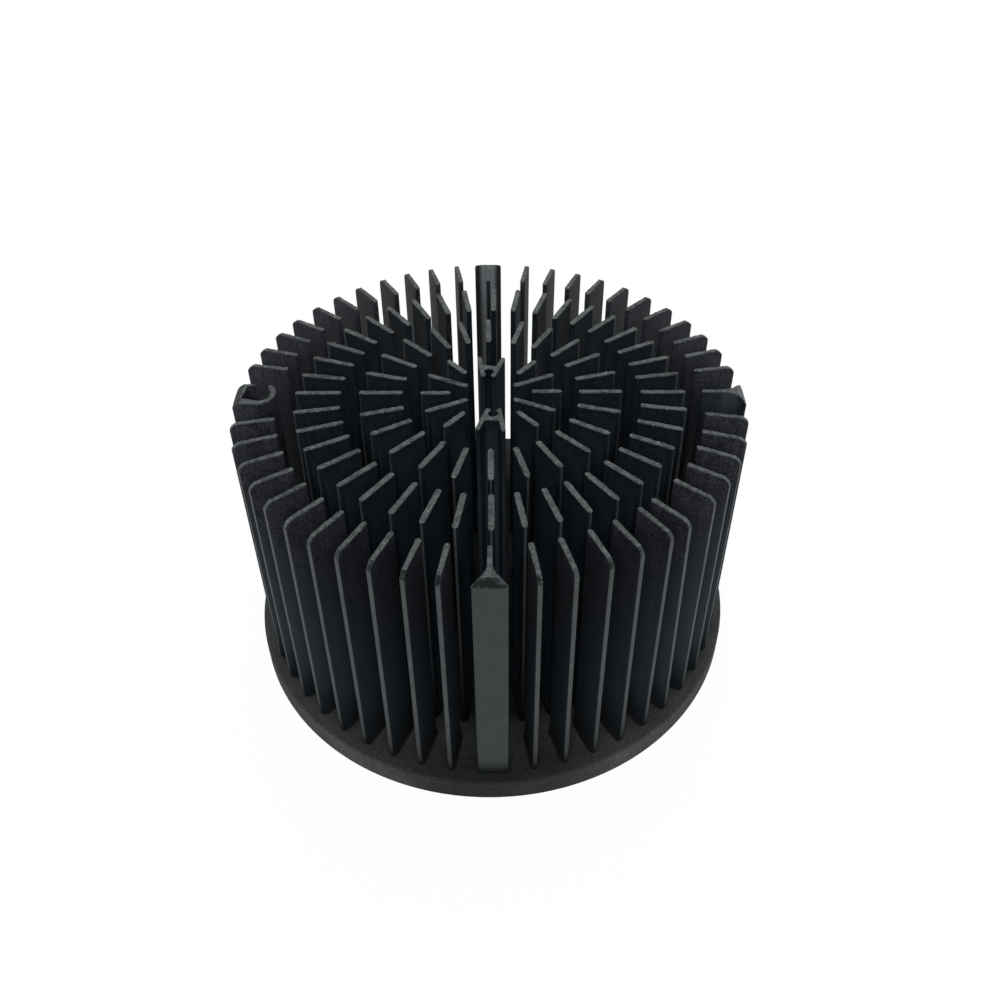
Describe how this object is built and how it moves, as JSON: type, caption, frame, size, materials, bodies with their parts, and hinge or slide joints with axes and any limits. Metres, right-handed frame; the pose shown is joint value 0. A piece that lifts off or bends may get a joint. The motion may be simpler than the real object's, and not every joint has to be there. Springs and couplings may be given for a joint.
{
  "type": "led heat sink",
  "caption": "Round forged heat sink for an LED lamp: a base disc with rings of upright plate fins, side tabs, a cable ring and screw ports.",
  "frame": {"origin": "middle of the underside, where the lamp is seated", "axes": "+Z along the fins, away from the lamp; -Y towards the front tab; -X towards the cable ring"},
  "size_m": [0.138, 0.138, 0.08],
  "materials": {
    "anodised_black": "matte black anodised"
  },
  "bodies": {
    "root": {"heat_sink": "anodised_black"}
  },
  "joints": []
}
